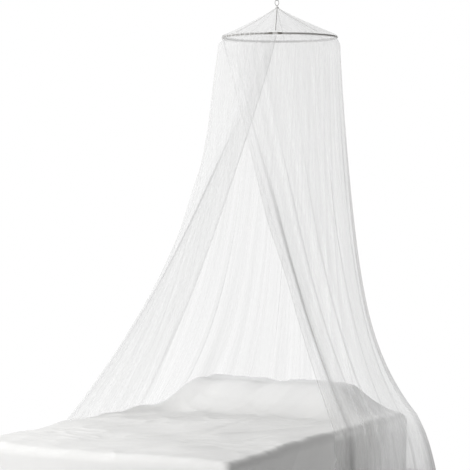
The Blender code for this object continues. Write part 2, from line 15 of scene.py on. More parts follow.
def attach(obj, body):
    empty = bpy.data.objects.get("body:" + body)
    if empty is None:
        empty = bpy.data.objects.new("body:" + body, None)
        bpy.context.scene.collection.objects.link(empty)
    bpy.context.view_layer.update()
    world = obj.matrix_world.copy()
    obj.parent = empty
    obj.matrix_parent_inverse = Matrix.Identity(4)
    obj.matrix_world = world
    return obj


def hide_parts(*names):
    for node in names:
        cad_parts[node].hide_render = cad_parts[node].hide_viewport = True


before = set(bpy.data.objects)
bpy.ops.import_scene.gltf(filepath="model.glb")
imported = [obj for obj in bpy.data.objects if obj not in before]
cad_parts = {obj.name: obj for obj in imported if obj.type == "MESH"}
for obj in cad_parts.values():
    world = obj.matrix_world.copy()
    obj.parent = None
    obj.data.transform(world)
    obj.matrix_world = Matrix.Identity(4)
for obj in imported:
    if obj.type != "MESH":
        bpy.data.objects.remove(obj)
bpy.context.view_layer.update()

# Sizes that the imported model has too.
CEILING_HEIGHT = 2.75
HOOP_HEIGHT = 2.46
HOOP_RADIUS = 0.300
HOOP_SHIFT = (0.014, 0.007)
CROWN_RISE = 0.154
CROWN_TOP_RADIUS = 0.0065
CROWN_SAG = 0.007
CROWN_CURVE = 1.12
GORES = 8
SEAM_DEGREES = 21.7
SLEEVE_BOTTOM = 0.0110
SLEEVE_TOP = 0.0095
SLEEVE_GAP_DEGREES = 7.5
UNDER_SLEEVE = 0.0001
OVER_SLEEVE = 0.0006
BED_TOP = 0.50
BED_WIDTH = 1.40
BED_LENGTH = 2.00
BED_CENTRE_X = -0.035
BED_HEAD_Y = 0.21
NET_HEM_HEIGHT = 0.03
PILLOW_WIDTH = 0.53
PILLOW_DEPTH = 0.41
PILLOW_HEIGHT = 0.150
PILLOW_SPACING = 0.52
PILLOW_SHIFT = 0.020
PILLOW_BACK = 0.022
SPREAD_OVER_PILLOW = 0.004
SPREAD_DIP = 0.014
SPREAD_HEM_DROP = 0.45
SPREAD_CORNER = 0.030
SPREAD_EDGE = 0.045
SPREAD_INSET = 0.0012

# The photograph looks at the front from this far round to the right.
VIEW_DEGREES = 27.6

# The pitch of the net's knit, and of the weave of the spread and the tapes.
KNIT_WALE = 0.0016
KNIT_COURSE = 0.0022
SPREAD_WEAVE = 0.0011
TAPE_WEAVE = 0.0008

# Lines down the skirt: where each leaves the hoop in degrees, where it comes to at the
# height of the spread, how it swings there, how it bulges on the way, which way and how
# far it flares below, and how deep its pleats are.
SKIRT_LINES = (
    (
        "across", "hoop", "foot_x", "foot_y", "early", "power",
        "bulge", "push", "flare", "out", "pleat",
    ),
    (0.000, 23.0, -0.7404, -0.15, 0.80, 3.0, -0.035, 23.0, 0.002, -90.0, 0.005),
    (0.055, 19.0, -0.7409, -0.50, 0.80, 3.0, -0.045, 19.0, 0.002, -90.0, 0.006),
    (0.105, 15.5, -0.7430, -0.78, 0.76, 3.0, -0.050, 15.5, 0.004, -90.0, 0.006),
    (0.130, 12.0, -0.772, -0.84, 0.73, 3.0, -0.055, 12.0, 0.020, -70.0, 0.006),
    (0.165, -4.0, -0.790, -0.70, 0.72, 3.0, -0.045, -4.0, 0.040, -90.0, 0.008),
    (0.235, -45.0, -0.790, -0.38, 0.58, 3.0, -0.012, -45.0, 0.050, -90.0, 0.012),
    (0.310, -88.0, -0.785, -0.03, 0.46, 3.0, 0.032, -88.0, 0.050, -90.0, 0.014),
    (0.385, -125.0, -0.765, 0.240, 0.44, 4.0, 0.022, -125.0, 0.070, -135.0, 0.015),
    (0.460, -150.0, -0.440, 0.290, 0.48, 5.0, 0.0, -150.0, 0.050, -180.0, 0.015),
    (0.555, -180.0, -0.020, 0.315, 0.48, 5.0, 0.0, -180.0, 0.045, -180.0, 0.015),
    (0.650, -212.0, 0.400, 0.290, 0.45, 6.0, 0.0, -212.0, 0.060, -180.0, 0.015),
    (0.725, -243.0, 0.682, 0.245, 0.40, 6.0, 0.0, -243.0, 0.120, -225.0, 0.014),
    (0.790, -268.0, 0.690, 0.060, 0.45, 5.0, 0.004, -268.0, 0.090, -262.0, 0.014),
    (0.850, -305.0, 0.684, -0.160, 0.55, 4.0, 0.016, -305.0, 0.060, -270.0, 0.012),
    (0.915, -350.0, 0.680, -0.410, 0.68, 3.5, 0.045, -350.0, 0.030, -270.0, 0.010),
    (0.970, -390.0, 0.6703, -0.630, 0.78, 3.0, 0.070, -345.0, 0.004, -270.0, 0.006),
    (1.000, -401.0, 0.6690, -0.745, 0.80, 3.0, 0.075, -335.0, -0.002, -270.0, 0.005),
)
# Broad folds: where each is, half its width as a share of the net, and its depth.
SKIRT_FOLDS = (
    ("across", "half_width", "depth"),
    (0.205, 0.010, 0.007),
    (0.340, 0.014, 0.008),
    (0.520, 0.016, -0.010),
    (0.615, 0.012, 0.011),
    (0.700, 0.012, 0.012),
    (0.752, 0.009, -0.006),
    (0.822, 0.010, 0.010),
    (0.885, 0.009, 0.007),
    (0.945, 0.007, 0.005),
)
SKIRT_PLEATS = 31
SKIRT_SPREAD_ON_HOOP = 0.0026
PLEAT_AT_HOOP = 0.0008
BULGE_REACH = 0.45
TURNED_IN = 0.032
HEM_SHARE = 0.0042
HEM_LIFT = 0.0009
FOOT_HEM_START = 1.968
FOOT_HEM_LIFT = 0.0008
HOOP_PUFF = 0.026
# Finer gathers: how many there are, a seed, their depth at the hoop and at the height of
# the spread, and how unevenly they are spaced.
FINE_GATHERS = (
    (67.0, 1.3, 0.0009, 0.0028, 0.5),
    (113.0, 2.7, 0.0008, 0.0010, 0.8),
)

# The net as one sheet of cloth, and how finely it is drawn.
NET_WIDTH = 6.4
SKIRT_COLUMNS = 1000
ROWS_ABOVE_BED = 72
ROWS_BELOW_BED = 22

# Pinched folds, each a narrow S in which the net lies three deep: where it is, half its
# width as a share of the net, how far the cloth slides over itself at the hoop and at
# the height of the spread, and how far down the net it starts and is full.
PINCHES = (
    ("across", "half_width", "slide_top", "slide_foot", "start", "full"),
    (0.030, 0.0030, 0.002, 0.008, 0.30, 0.80),
    (0.118, 0.0036, 0.002, 0.008, 0.05, 0.50),
    (0.150, 0.0030, 0.002, 0.009, 0.10, 0.80),
    (0.262, 0.0034, 0.002, 0.006, 0.10, 0.60),
    (0.392, 0.0034, 0.002, 0.006, 0.10, 0.80),
    (0.508, 0.0036, 0.002, 0.006, 0.15, 0.60),
    (0.640, 0.0036, 0.002, 0.007, 0.10, 0.60),
    (0.741, 0.0030, 0.002, 0.006, 0.05, 0.50),
    (0.790, 0.0032, 0.002, 0.008, 0.05, 0.40),
    (0.838, 0.0032, 0.002, 0.009, 0.05, 0.50),
    (0.881, 0.0030, 0.002, 0.010, 0.10, 0.60),
    (0.915, 0.0032, 0.002, 0.009, 0.05, 0.50),
    (0.9520, 0.0050, 0.003, 0.008, 0.02, 0.45),
)

# Where the net is bunched closer than its width on the hoop gives: where it is, half its
# width as a share of the net, how much closer, and how far down it starts and is full.
BUNCHES = (
    ("across", "half_width", "more", "start", "full"),
    (0.110, 0.018, 0.35, 0.10, 0.40),
    (0.060, 0.016, 0.15, 0.20, 0.70),
    (0.310, 0.016, 0.20, 0.30, 0.80),
    (0.420, 0.012, 0.20, 0.10, 0.50),
    (0.560, 0.014, 0.25, 0.30, 0.80),
    (0.690, 0.020, 0.40, 0.02, 0.30),
    (0.748, 0.020, 0.80, 0.02, 0.35),
    (0.815, 0.012, 0.20, 0.10, 0.50),
    (0.880, 0.008, 0.20, 0.20, 0.60),
    (0.930, 0.007, 0.25, 0.20, 0.60),
    (0.9520, 0.0095, 1.10, 0.10, 0.50),
    (0.9800, 0.0050, 0.60, 0.10, 0.50),
    (0.9570, 0.0018, 1.00, 0.00, 0.06),
)

# Creases pressed into the spread: where each is, its direction in degrees from +X, its
# length, its width and its height, below zero for a trough.
SPREAD_CREASES = (
    ("x", "y", "angle", "length", "width", "height"),
    (-0.32, -0.62, 78.0, 0.30, 0.016, 0.0030),
    (0.10, -0.70, 96.0, 0.34, 0.018, -0.0028),
    (0.34, -0.55, 66.0, 0.26, 0.014, 0.0030),
    (-0.10, -0.42, 20.0, 0.22, 0.014, -0.0026),
    (0.20, -0.36, -24.0, 0.20, 0.012, 0.0032),
    (-0.44, -0.30, 42.0, 0.20, 0.013, -0.0030),
    (0.46, -0.90, 80.0, 0.30, 0.018, -0.0030),
    (-0.50, -1.05, 70.0, 0.34, 0.020, 0.0034),
    (-0.05, -1.10, 8.0, 0.36, 0.020, 0.0028),
    (0.25, -1.35, -12.0, 0.30, 0.018, -0.0030),
    (-0.35, -1.45, 15.0, 0.28, 0.018, 0.0030),
    (0.00, -0.23, 0.0, 0.42, 0.020, -0.0040),
)


def up(height):
    return height - CEILING_HEIGHT


def eased(value, start, full):
    """0 up to start, 1 from full on, and a smooth rise between them."""
    share = np.clip((value - start) / (full - start), 0.0, 1.0)
    return share * share * (3.0 - 2.0 * share)


# ---------------------------------------------------------------- materials


class Nodes:
    """A short way to write a material's node tree."""

    def __init__(self, name):
        self.material = bpy.data.materials.new(name)
        self.material.use_nodes = True
        self.tree = self.material.node_tree
        self.shader = self.tree.nodes["Principled BSDF"]

    def link(self, out, into):
        self.tree.links.new(out, into)

    def math(self, operation, first, second=0.0, clamp=False):
        node = self.tree.nodes.new("ShaderNodeMath")
        node.operation = operation
        node.use_clamp = clamp
        for socket, value in zip(node.inputs, (first, second)):
            if isinstance(value, (int, float)):
                socket.default_value = value
            else:
                self.link(value, socket)
        return node.outputs[0]

    def ramp(self, value, low, high):
        """value from 0 to 1 turned into low to high."""
        return self.math("ADD", self.math("MULTIPLY", value, high - low), low)

    def noise(self, coordinates, scale, detail=3.0, roughness=0.5):
        node = self.tree.nodes.new("ShaderNodeTexNoise")
        node.inputs["Scale"].default_value = scale
        node.inputs["Detail"].default_value = detail
        node.inputs["Roughness"].default_value = roughness
        self.link(coordinates, node.inputs["Vector"])
        return node.outputs["Fac"]

    def scaled(self, coordinates, factors):
        node = self.tree.nodes.new("ShaderNodeMapping")
        node.inputs["Scale"].default_value = factors
        self.link(coordinates, node.inputs["Vector"])
        return node.outputs["Vector"]

    def wave(self, coordinates, axis, pitch):
        """Lines across the axis, one to each pitch, from 0 to 1."""
        node = self.tree.nodes.new("ShaderNodeTexWave")
        node.bands_direction = axis
        node.inputs["Scale"].default_value = math.pi / (10.0 * pitch)
        self.link(coordinates, node.inputs["Vector"])
        return node.outputs["Fac"]

    def mix(self, share, first, second):
        node = self.tree.nodes.new("ShaderNodeMix")
        node.data_type = "RGBA"
        self.link(share, node.inputs["Factor"])
        for name, value in (("A", first), ("B", second)):
            socket = [s for s in node.inputs if s.name == name and s.type == "RGBA"][0]
            if isinstance(value, tuple):
                socket.default_value = (*value, 1.0)
            else:
                self.link(value, socket)
        return [s for s in node.outputs if s.type == "RGBA"][0]

    def bump(self, height, distance, strength=1.0):
        node = self.tree.nodes.new("ShaderNodeBump")
        node.inputs["Distance"].default_value = distance
        node.inputs["Strength"].default_value = strength
        self.link(height, node.inputs["Height"])
        self.link(node.outputs["Normal"], self.shader.inputs["Normal"])

    def uv(self, name):
        node = self.tree.nodes.new("ShaderNodeUVMap")
        node.uv_map = name
        return node.outputs["UV"]

    def object_place(self):
        return self.tree.nodes.new("ShaderNodeTexCoord").outputs["Object"]

    def attribute(self, name):
        node = self.tree.nodes.new("ShaderNodeAttribute")
        node.attribute_name = name
        return node.outputs["Fac"]


def net_material(name, cover, colour, crowd=0.66):
    """Fine net: its knit lets most light through, and it covers more where it is gathered.
    Its threads are as bright from behind as from in front. crowd is how much of its
    brightness is left where it is bunched most: its colour is darkened there, a painted shade."""
    m = Nodes(name)
    cloth = m.uv("cloth")
    wales = m.wave(cloth, "X", KNIT_WALE)
    courses = m.wave(m.scaled(cloth, (0.5, 1.0, 1.0)), "DIAGONAL", KNIT_COURSE)
    threads = m.math("MAXIMUM", m.math("POWER", wales, 2.0), m.math("POWER", courses, 2.0))
    streaks = m.noise(m.scaled(cloth, (24.0, 0.45, 1.0)), 1.0, 4.0, 0.55)
    patches = m.noise(m.scaled(cloth, (9.0, 0.9, 1.0)), 1.0, 3.0, 0.5)
    knit = m.math("MULTIPLY", m.ramp(threads, 0.80, 1.20), m.ramp(streaks, 0.40, 1.60))
    knit = m.math("MULTIPLY", knit, m.ramp(patches, 0.60, 1.40))
    density = m.math("MULTIPLY", m.attribute("gather"), cover)
    alpha = m.math("MULTIPLY", knit, density, clamp=True)
    shade = m.noise(m.scaled(cloth, (9.0, 1.2, 1.0)), 2.0, 3.0)
    pale = tuple(min(1.0, c * 1.02) for c in colour)
    deep = tuple(c * 0.97 for c in colour)
    # Painted shade: the colour is darkened where the net is bunched closely, for the light lost
    # between the layers.
    bunched_shade_mask = m.math("MULTIPLY", m.math("SUBTRACT", m.attribute("gather"), 2.3), 0.40, clamp=True)
    bunched_shade_tone = tuple(c * crowd for c in colour)
    tone = m.mix(bunched_shade_mask, m.mix(shade, pale, deep), bunched_shade_tone)
    m.link(tone, m.shader.inputs["Base Color"])
    m.shader.inputs["Roughness"].default_value = 0.85
    m.shader.inputs["Specular IOR Level"].default_value = 0.15
    m.shader.inputs["Sheen Weight"].default_value = 0.12
    m.shader.inputs["Sheen Roughness"].default_value = 0.5
    m.bump(threads, 0.0002, 0.6)
    behind = m.tree.nodes.new("ShaderNodeBsdfTranslucent")
    m.link(tone, behind.inputs["Color"])
    clear = m.tree.nodes.new("ShaderNodeBsdfTransparent")
    thread = m.tree.nodes.new("ShaderNodeMixShader")
    thread.inputs[0].default_value = 0.5
    m.link(m.shader.outputs[0], thread.inputs[1])
    m.link(behind.outputs[0], thread.inputs[2])
    whole = m.tree.nodes.new("ShaderNodeMixShader")
    m.link(alpha, whole.inputs[0])
    m.link(clear.outputs[0], whole.inputs[1])
    m.link(thread.outputs[0], whole.inputs[2])
    output = m.tree.nodes["Material Output"]
    m.link(whole.outputs[0], output.inputs["Surface"])
    return m.material


def spread_material():
    """Plain cotton with a fine weave, slight slubs and faint rumpling."""
    m = Nodes("spread_cotton")
    cloth = m.uv("cloth")
    warp = m.wave(cloth, "X", SPREAD_WEAVE)
    weft = m.wave(cloth, "Y", SPREAD_WEAVE)
    weave = m.math("MAXIMUM", warp, weft)
    slubs = m.noise(m.scaled(cloth, (1.0, 14.0, 1.0)), 40.0, 3.0)
    rumple = m.noise(cloth, 9.0, 5.0, 0.6)
    # Painted light: the spread is paler over the pillows than down the bed, against the net's
    # shadow on them.
    apart = m.tree.nodes.new("ShaderNodeSeparateXYZ")
    m.link(cloth, apart.inputs[0])
    down_bed = m.math("SUBTRACT", 0.80, apart.outputs["Y"])
    down_bed = m.math("MULTIPLY", down_bed, 3.6, clamp=True)
    pillow_painted_light = m.mix(rumple, (0.89, 0.89, 0.89), (0.86, 0.86, 0.86))
    down_bed_tone = m.mix(rumple, (0.755, 0.753, 0.745), (0.715, 0.712, 0.702))
    m.link(m.mix(down_bed, pillow_painted_light, down_bed_tone), m.shader.inputs["Base Color"])
    height = m.math("ADD", m.math("MULTIPLY", weave, 0.35), m.math("MULTIPLY", slubs, 0.65))
    m.shader.inputs["Roughness"].default_value = 0.9
    m.shader.inputs["Specular IOR Level"].default_value = 0.2
    m.shader.inputs["Sheen Weight"].default_value = 0.1
    m.bump(height, 0.0004, 0.7)
    return m.material


def woven_material(name, pale, deep, pitch, roughness=0.85, sheer=0.0):
    """A plain weave in two tones, for tapes, ticking and the base's cover. sheer is how much
    of the light it lets through."""
    m = Nodes(name)
    place = m.object_place()
    lines = m.math("MAXIMUM", m.wave(place, "X", pitch), m.wave(place, "Y", pitch))
    rises = m.wave(place, "Z", pitch)
    weave = m.math("MULTIPLY", m.math("ADD", lines, rises), 0.5)
    mottle = m.noise(place, 35.0, 4.0)
    m.link(m.mix(mottle, pale, deep), m.shader.inputs["Base Color"])
    m.link(m.ramp(mottle, roughness - 0.05, roughness + 0.05), m.shader.inputs["Roughness"])
    m.bump(weave, pitch * 0.3, 0.6)
    if sheer:
        clear = m.tree.nodes.new("ShaderNodeBsdfTransparent")
        whole = m.tree.nodes.new("ShaderNodeMixShader")
        whole.inputs[0].default_value = sheer
        m.link(m.shader.outputs[0], whole.inputs[1])
        m.link(clear.outputs[0], whole.inputs[2])
        m.link(whole.outputs[0], m.tree.nodes["Material Output"].inputs["Surface"])
    return m.material


PALE_REACH = 0.016


def metal_material(name, colour, worn, pale=None, centre=None):
    """Painted wire with faint scuffs that show a paler metal, and a pale middle if given."""
    m = Nodes(name)
    place = m.object_place()
    scuffs = m.noise(place, 160.0, 5.0, 0.65)
    sharp = m.math("MULTIPLY", m.math("SUBTRACT", scuffs, 0.56), 9.0, clamp=True)
    tone = m.mix(sharp, colour, worn)
    if pale:
        away = m.tree.nodes.new("ShaderNodeVectorMath")
        away.operation = "DISTANCE"
        away.inputs[1].default_value = centre
        m.link(place, away.inputs[0])
        inside = m.math("SUBTRACT", PALE_REACH, away.outputs["Value"])
        tone = m.mix(m.math("MULTIPLY", inside, 250.0, clamp=True), tone, pale)
    m.link(tone, m.shader.inputs["Base Color"])
    m.link(m.ramp(scuffs, 0.30, 0.50), m.shader.inputs["Roughness"])
    m.shader.inputs["Metallic"].default_value = 0.6
    m.bump(scuffs, 0.0002, 0.3)
    return m.material


def floor_material():
    m = Nodes("floor_pale")
    tone = m.noise(m.object_place(), 3.0, 4.0)
    m.link(m.mix(tone, (0.93, 0.93, 0.93), (0.90, 0.90, 0.90)), m.shader.inputs["Base Color"])
    m.shader.inputs["Roughness"].default_value = 0.9
    return m.material


# ---------------------------------------------------------------- meshes


def place_object(name, mesh, material):
    """A smooth-shaded object in the scene."""
    obj = bpy.data.objects.new(name, mesh)
    bpy.context.scene.collection.objects.link(obj)
    mesh.materials.append(material)
    mesh.shade_smooth()
    return obj


def grid_mesh(name, points, material, cloth=None, density=None, wrap=False):
    """A mesh over an array of points (rows, columns, 3), with the cloth's own sizes as UVs
    and the net's density as an attribute."""
    rows, columns = points.shape[:2]
    index = np.arange(rows * columns).reshape(rows, columns)
    right = np.roll(index, -1, axis=1)
    last = columns if wrap else columns - 1
    corners = (index[:-1, :last], right[:-1, :last], right[1:, :last], index[1:, :last])
    faces = np.stack([c.ravel() for c in corners], axis=1)
    mesh = bpy.data.meshes.new(name)
    mesh.from_pydata(points.reshape(-1, 3).tolist(), [], faces.tolist())
    if cloth is not None:
        layer = mesh.uv_layers.new(name="cloth")
        flat = cloth.reshape(-1, 2)[faces.ravel()]
        layer.data.foreach_set("uv", flat.ravel().astype(np.float32))
    if density is not None:
        attribute = mesh.attributes.new("gather", "FLOAT", "POINT")
        attribute.data.foreach_set("value", density.ravel().astype(np.float32))
    mesh.validate()
    return place_object(name, mesh, material)


# ---------------------------------------------------------------- the skirt


def column(table, name, across):
    """Reads a smooth value between the rows of a table for an array of across values."""
    names = table[0]
    rows = table[1:]
    places = np.array([row[0] for row in rows])
    values = np.array([row[names.index(name)] for row in rows])
    last = len(rows) - 1
    k = np.clip(np.searchsorted(places, across, side="left") - 1, 0, last - 1)
    before = np.maximum(k - 1, 0)
    after = np.minimum(k + 2, last)
    span = places[k + 1] - places[k]
    t = (across - places[k]) / span
    slope_in = (values[k + 1] - values[before]) / np.maximum(places[k + 1] - places[before], span)
    slope_out = (values[after] - values[k]) / np.maximum(places[after] - places[k], span)
    rise = slope_in * span
    fall = slope_out * span
    step = values[k + 1] - values[k]
    bend = 3.0 * step - 2.0 * rise - fall
    return values[k] + t * rise + t * t * bend + t**3 * (rise + fall - 2.0 * step)


def skirt_line(across, fall):
    """The skirt's middle surface before pleats, as an array (rows, columns, 3)."""
    fall = fall[:, None]
    degrees = np.radians(column(SKIRT_LINES, "hoop", across))[None, :]
    on_sleeve = HOOP_RADIUS + SKIRT_SPREAD_ON_HOOP * (2.0 * across - 1.0)
    start_x = HOOP_SHIFT[0] + on_sleeve * np.sin(degrees)
    start_y = HOOP_SHIFT[1] - on_sleeve * np.cos(degrees)
    above = np.minimum(fall, 1.0)
    below = np.maximum(fall - 1.0, 0.0)
    early = column(SKIRT_LINES, "early", across)
    power = column(SKIRT_LINES, "power", across)
    swing = early * above + (1.0 - early) * above**power
    x = start_x + (column(SKIRT_LINES, "foot_x", across) - start_x) * swing
    y = start_y + (column(SKIRT_LINES, "foot_y", across) - start_y) * swing
    hump = above / BULGE_REACH
    bulge = column(SKIRT_LINES, "bulge", across) * 6.75 * hump * np.maximum(1.0 - hump, 0.0) ** 2
    push = np.radians(column(SKIRT_LINES, "push", across))
    flare = column(SKIRT_LINES, "flare", across) * (1.0 - (1.0 - below) ** 2)
    out = np.radians(column(SKIRT_LINES, "out", across))
    x = x + np.sin(push) * bulge + np.sin(out) * flare
    y = y - np.cos(push) * bulge - np.cos(out) * flare
    return np.stack([x, y, np.zeros_like(x)], axis=-1)


def skirt_height(fall):
    """Heights for falls from 0 under the sleeve, by 1 at the spread's top, to 2 at the hem."""
    top = HOOP_HEIGHT - SLEEVE_BOTTOM - UNDER_SLEEVE
    above = top + (BED_TOP - top) * fall
    below = BED_TOP + (NET_HEM_HEIGHT - BED_TOP) * (fall - 1.0)
    return np.where(fall <= 1.0, above, below)


def soft_wave(across, pleats, seed, drift=0.35):
    """A wave from -1 to 1 whose pleats differ in width and depth."""
    slow = drift * np.sin(17.0 * across + 1.1 + seed)
    slow = slow + 0.22 * np.sin(41.0 * across + 0.4 + 2.0 * seed)
    swell = 0.72 + 0.28 * np.sin(29.0 * across + 2.0 + 3.0 * seed)
    return 2.0 * math.pi * (pleats * across + slow), swell


def pinch_shape(distance):
    """An odd hump, 1 at its crest and -1 at its trough, that dies away on both sides."""
    return distance * np.exp(-(distance**2)) * math.sqrt(2.0 * math.e)


def skirt_surface(across, fall):
    """Points of the finished skirt for arrays of across and fall."""
    step = 0.0015
    middle = skirt_line(across, fall)
    ahead = skirt_line(np.minimum(across + step, 1.0), fall)
    behind = skirt_line(np.maximum(across - step, 0.0), fall)
    along = ahead - behind
    along /= np.linalg.norm(along, axis=-1, keepdims=True)
    outward = np.stack([-along[..., 1], along[..., 0], np.zeros(along.shape[:2])], axis=-1)
    a = across[None, :]
    f = fall[:, None]
    grown = np.minimum(f, 1.0) ** 0.8
    deep = column(SKIRT_LINES, "pleat", across)[None, :]
    depth = PLEAT_AT_HOOP + (deep - PLEAT_AT_HOOP) * grown
    phase, swell = soft_wave(a, SKIRT_PLEATS, 0.0)
    normal = np.sin(phase) * swell * depth
    for centre, half_width, height in SKIRT_FOLDS[1:]:
        normal = normal + height * np.exp(-(((a - centre) / half_width) ** 2)) * grown
    lean = 0.9 * np.sin(13.0 * a + 0.6) + 0.5 * np.sin(37.0 * a + 2.2)
    slide = -np.sin(phase + 0.5) * swell * depth * lean
    # The front edges hang flatter than the rest.
    near_edge = np.clip(np.minimum(a, 1.0 - a) / 0.06, 0.15, 1.0)
    for pleats, seed, top, foot, drift in FINE_GATHERS:
        phase, swell = soft_wave(a + 0.004 * np.sin(5.0 * f + 9.0 * a), pleats, seed, drift)
        size = (top + (foot - top) * grown) * swell * near_edge
        normal = normal + np.sin(phase) * size
        slide = slide - np.sin(phase + 0.4) * size * (0.8 * np.sin(23.0 * a + seed) + 0.6)
    for centre, half_width, slide_top, slide_foot, start, full in PINCHES[1:]:
        wander = 0.0010 * np.sin(4.0 * f + 50.0 * centre)
        distance = (a - centre - wander) / half_width
        reach = slide_top * 0.6 + (slide_foot - slide_top * 0.6) * eased(f, start, full)
        slide = slide - pinch_shape(distance) * reach
        normal = normal + pinch_shape(distance / 1.4) * reach * 0.22
    # The right front edge is turned in over itself below the crossing.
    turned = np.clip((a - 0.955) / 0.045, 0.0, 1.0)
    slide = slide - TURNED_IN * turned * eased(f, 0.46, 0.66)
    # The gathers stand out under the sleeve before the net falls.
    drop = f * (HOOP_HEIGHT - BED_TOP)
    puff = HOOP_PUFF * (1.0 - np.exp(-drop / 0.006)) * np.exp(-drop / 0.22)
    normal = normal + puff * (0.75 + 0.25 * np.sin(31.0 * a + 0.7))
    points = middle + outward * normal[..., None] + along * slide[..., None]
    points[..., 2] = up(skirt_height(fall))[:, None]
    return points


def drop_lengths(points):
    """How far down the cloth each row lies, measured along each column."""
    steps = np.linalg.norm(np.diff(points, axis=0), axis=-1)
    return np.concatenate([np.zeros((1, points.shape[1])), np.cumsum(steps, axis=0)])


def net_cloth(across, points):
    """Each point's place on the flat net."""
    widths = np.broadcast_to(across * NET_WIDTH, points.shape[:2])
    return np.stack([widths, drop_lengths(points)], axis=-1)


def gathered_density(points, cloth_width):
    """How many times more net lies on each row than the same width of flat net holds,
    evened out over the row's neighbourhood."""
    steps = np.linalg.norm(np.diff(points, axis=1), axis=-1)
    share = cloth_width / points.shape[1] / np.maximum(steps, 1e-5)
    share = np.concatenate([share[:, :1], share], axis=1)
    reach = 30
    kernel = np.ones(2 * reach + 1) / (2 * reach + 1)
    padded = np.pad(share, ((0, 0), (reach, reach)), mode="edge")
    even = np.stack([np.convolve(row, kernel, mode="valid") for row in padded])
    return np.clip(even, 0.6, 1.65)


def bunched(across, fall):
    """How many times closer the net is bunched at each place."""
    a = across[None, :]
    f = fall[:, None]
    closer = np.ones((len(fall), len(across)))
    for centre, half_width, more, start, full in BUNCHES[1:]:
        wander = 0.25 * half_width * np.sin(3.0 * f + 60.0 * centre)
        hump = np.exp(-(((a - centre - wander) / half_width) ** 2))
        closer = closer + more * hump * eased(f, start, full)
    below = np.clip(f - 1.0, 0.0, 1.0)
    return closer * (1.0 + 0.9 * below)


def build_skirt(net):
    across = np.linspace(0.0, 1.0, SKIRT_COLUMNS + 1)
    above = np.linspace(0.0, 1.0, ROWS_ABOVE_BED + 1)
    below = np.linspace(1.0, 2.0, ROWS_BELOW_BED + 1)[1:]
    fall = np.concatenate([above, below])
    points = skirt_surface(across, fall)
    density = gathered_density(points, NET_WIDTH) * bunched(across, fall)
    skirt = grid_mesh("net_skirt", points, net, net_cloth(across, points), density)
    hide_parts("skirt")
    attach(skirt, "root")
    return skirt


def build_hems(net):
    """The hems that are turned along both front edges and along the foot of the net."""
    hems = []
    fall = np.concatenate([np.linspace(0.0, 1.0, 145), np.linspace(1.0, 2.0, 46)[1:]])
    edges = (
        ("net_hem_left", 0.0, HEM_SHARE, HEM_LIFT),
        ("net_hem_right", 1.0, 1.0 - HEM_SHARE, -HEM_LIFT),
    )
    for name, start, end, lift in edges:
        across = np.linspace(start, end, 6)
        points = skirt_surface(across, fall)
        over = points[:, -1, :2] - points[:, 0, :2]
        side = np.stack([-over[:, 1], over[:, 0]], axis=-1)
        side /= np.linalg.norm(side, axis=-1, keepdims=True)
        bulge = np.array([0.0, 1.0, 1.0, 1.0, 1.0, 0.0]) * lift
        points[..., :2] += side[:, None, :] * bulge[None, :, None]
        # The hems are closest at the hoop, and their fold is denser than their inner edge.
        density = 0.75 + 2.2 * np.exp(-((fall / 0.27) ** 2))[:, None] * np.ones((1, len(across)))
        density[:, :4] *= 2.2
        hem = grid_mesh(name, points, net, net_cloth(across, points), density)
        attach(hem, "root")
        hems.append(hem)
    across = np.linspace(0.0, 1.0, 801)
    fall = np.linspace(FOOT_HEM_START, 2.0, 4)
    points = skirt_surface(across, fall)
    cloth = net_cloth(across, points)
    points[..., 0] -= FOOT_HEM_LIFT
    hem = grid_mesh("net_hem_foot", points, net, cloth, np.full(points.shape[:2], 1.0))
    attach(hem, "root")
    hems.append(hem)
    return hems


# ---------------------------------------------------------------- crown, hoop and hanging parts


def on_hoop(degrees, radius, height):
    """Points round the hoop's axis, by degrees from the foot of the bed toward +X."""
    angle = np.radians(degrees)
    x = HOOP_SHIFT[0] + radius * np.sin(angle)
    y = HOOP_SHIFT[1] - radius * np.cos(angle)
    return np.stack(np.broadcast_arrays(x, y, up(height)), axis=-1)


def crown_surface(around, down):
    """Points of the crown for arrays of around, from the seam, and down, from the apex."""
    a = around[None, :]
    d = down[:, None]
    gore = np.abs(np.sin(math.pi * GORES * a))
    radius = CROWN_TOP_RADIUS + (HOOP_RADIUS - CROWN_TOP_RADIUS) * d**CROWN_CURVE
    sag = CROWN_SAG * gore * np.sin(math.pi * d) * d
    top = HOOP_HEIGHT + CROWN_RISE
    bottom = HOOP_HEIGHT + SLEEVE_TOP + OVER_SLEEVE
    ripple = 0.0012 * np.sin(2.0 * math.pi * 54.0 * a + 2.0 * np.sin(9.0 * a)) * d**3
    height = top + (bottom - top) * d - sag + ripple * (1.0 - d) * 2.0
    points = on_hoop(SEAM_DEGREES + 360.0 * a, radius, height)
    lean = np.array([HOOP_SHIFT[0], HOOP_SHIFT[1], 0.0]) * (1.0 - d)[..., None]
    return points - lean


# A tape's section: across it, and up from the crown.
TAPE_PROFILE = (
    (-0.0028, 0.0011),
    (-0.0012, 0.0021),
    (0.0, 0.0024),
    (0.0012, 0.0021),
    (0.0028, 0.0011),
)


